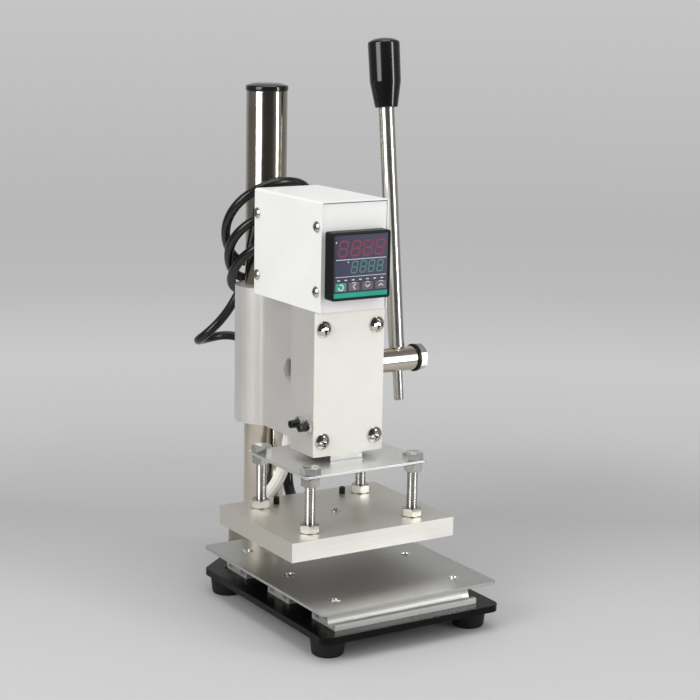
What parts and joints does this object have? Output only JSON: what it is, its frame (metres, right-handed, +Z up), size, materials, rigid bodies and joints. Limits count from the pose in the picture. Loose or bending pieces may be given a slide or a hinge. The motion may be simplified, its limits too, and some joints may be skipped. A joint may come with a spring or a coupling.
{
  "type": "hot foil stamping machine",
  "caption": "Lever-driven bench stamping press: a rack-and-pinion ram carries a heated plate over a small work table, with a temperature controller box on a round column.",
  "frame": {"origin": "on the floor under the middle of the machine's bounding box, measured without the mains cord and its plug", "axes": "+X to the right along the lever shaft, +Y to the rear where the column stands, +Z up; seen from the front the controller faces -Y"},
  "size_m": [0.1704, 0.2909, 0.408],
  "materials": {
    "black_paint": "gloss black paint",
    "foot_rubber": "matt black rubber",
    "zinc_steel": "bright zinc-plated steel",
    "rail_aluminium": "mill-finish extruded aluminium",
    "table_steel": "satin sheet steel",
    "nickel": "nickel-plated steel",
    "turned_aluminium": "turned aluminium",
    "head_aluminium": "satin extruded aluminium",
    "plate_aluminium": "milled aluminium",
    "white_paint": "white powder coat",
    "black_gloss": "gloss black plastic",
    "controller_plastic": "dark grey moulded plastic",
    "window": "dark tinted window",
    "key_teal": "teal key",
    "key_grey": "grey key",
    "gib_brass": "brass",
    "black_oxide": "black oxide steel",
    "tool_steel": "machined steel",
    "cord_pvc": "glossy black cord jacket",
    "glass_sleeve": "braided white glass-fibre sleeve"
  },
  "bodies": {
    "base": {"base_plate": "black_paint", "rubber_feet": "foot_rubber", "foot_screws": "zinc_steel", "rail_front": "rail_aluminium", "rail_middle": "rail_aluminium", "rail_rear": "rail_aluminium", "rail_screws": "zinc_steel", "work_table": "table_steel", "table_screws": "zinc_steel", "column_boss": "turned_aluminium", "boss_screws": "zinc_steel", "column": "nickel", "column_cap": "black_gloss"},
    "head": {"head_body": "head_aluminium", "clamp_bolts": "zinc_steel", "front_cover_plate": "white_paint", "front_cover_screws": "zinc_steel", "gib_strip": "gib_brass", "gib_screws": "black_oxide", "gib_nuts": "zinc_steel", "spring_anchor": "tool_steel", "return_spring": "tool_steel", "box_cover": "white_paint", "box_chassis": "white_paint", "box_screws": "zinc_steel", "floor_screws": "zinc_steel", "controller_case": "controller_plastic", "controller_bezel": "controller_plastic", "controller_window": "window", "controller_clip": "controller_plastic", "cord_gland": "black_gloss", "cord_lead": "cord_pvc", "cord_coil": "cord_pvc", "cord_tail": "cord_pvc", "plug_body": "black_gloss", "plug_pins": "nickel", "heater_sleeve": "glass_sleeve", "sensor_lead": "cord_pvc"},
    "set_key": {"set_key": "key_teal"},
    "shift_key": {"shift_key": "key_grey"},
    "down_key": {"down_key": "key_grey"},
    "up_key": {"up_key": "key_grey"},
    "ram": {"ram": "tool_steel", "rack": "tool_steel", "rack_screws": "zinc_steel", "upper_plate": "table_steel", "plate_screws": "zinc_steel", "standoff_bolts": "zinc_steel", "standoff_nuts": "zinc_steel", "heating_plate": "plate_aluminium", "cartridge_heaters": "tool_steel", "heater_set_screws": "black_oxide", "plate_center_screw": "zinc_steel", "sensor_probe": "zinc_steel"},
    "lever": {"pinion_shaft": "nickel", "pinion_gear": "tool_steel", "lever_rod": "nickel", "lever_grip": "black_gloss", "shaft_bolts": "zinc_steel", "spring_washer": "black_oxide"}
  },
  "joints": [
    {"name": "head_height", "type": "slide", "parent": "base", "child": "head", "axis": [0, 0, 1], "range_m": [0, 0.08]},
    {"name": "lever_pivot", "type": "hinge", "parent": "head", "child": "lever", "pos_m": [-0.01225, 0.0225, 0.1685], "axis": [1, 0, 0], "range_deg": [0, 76], "stiffness_Nm_per_rad": 0.3, "springref_deg": -68.75},
    {"name": "ram_slide", "type": "slide", "parent": "head", "child": "ram", "axis": [0, 0, -1], "range_m": [0, 0.02], "deforming": ["return_spring", "heater_sleeve", "sensor_lead"]},
    {"name": "set_key_press", "type": "slide", "parent": "head", "child": "set_key", "axis": [0, 1, 0], "range_m": [0, 0.0004], "stiffness_N_per_m": 800, "springref_m": -0.0004},
    {"name": "shift_key_press", "type": "slide", "parent": "head", "child": "shift_key", "axis": [0, 1, 0], "range_m": [0, 0.0004], "stiffness_N_per_m": 800, "springref_m": -0.0004},
    {"name": "down_key_press", "type": "slide", "parent": "head", "child": "down_key", "axis": [0, 1, 0], "range_m": [0, 0.0004], "stiffness_N_per_m": 800, "springref_m": -0.0004},
    {"name": "up_key_press", "type": "slide", "parent": "head", "child": "up_key", "axis": [0, 1, 0], "range_m": [0, 0.0004], "stiffness_N_per_m": 800, "springref_m": -0.0004}
  ],
  "couplings": [
    {"joint": "ram_slide", "follows": "lever_pivot", "m_per_rad": 0.015}
  ]
}
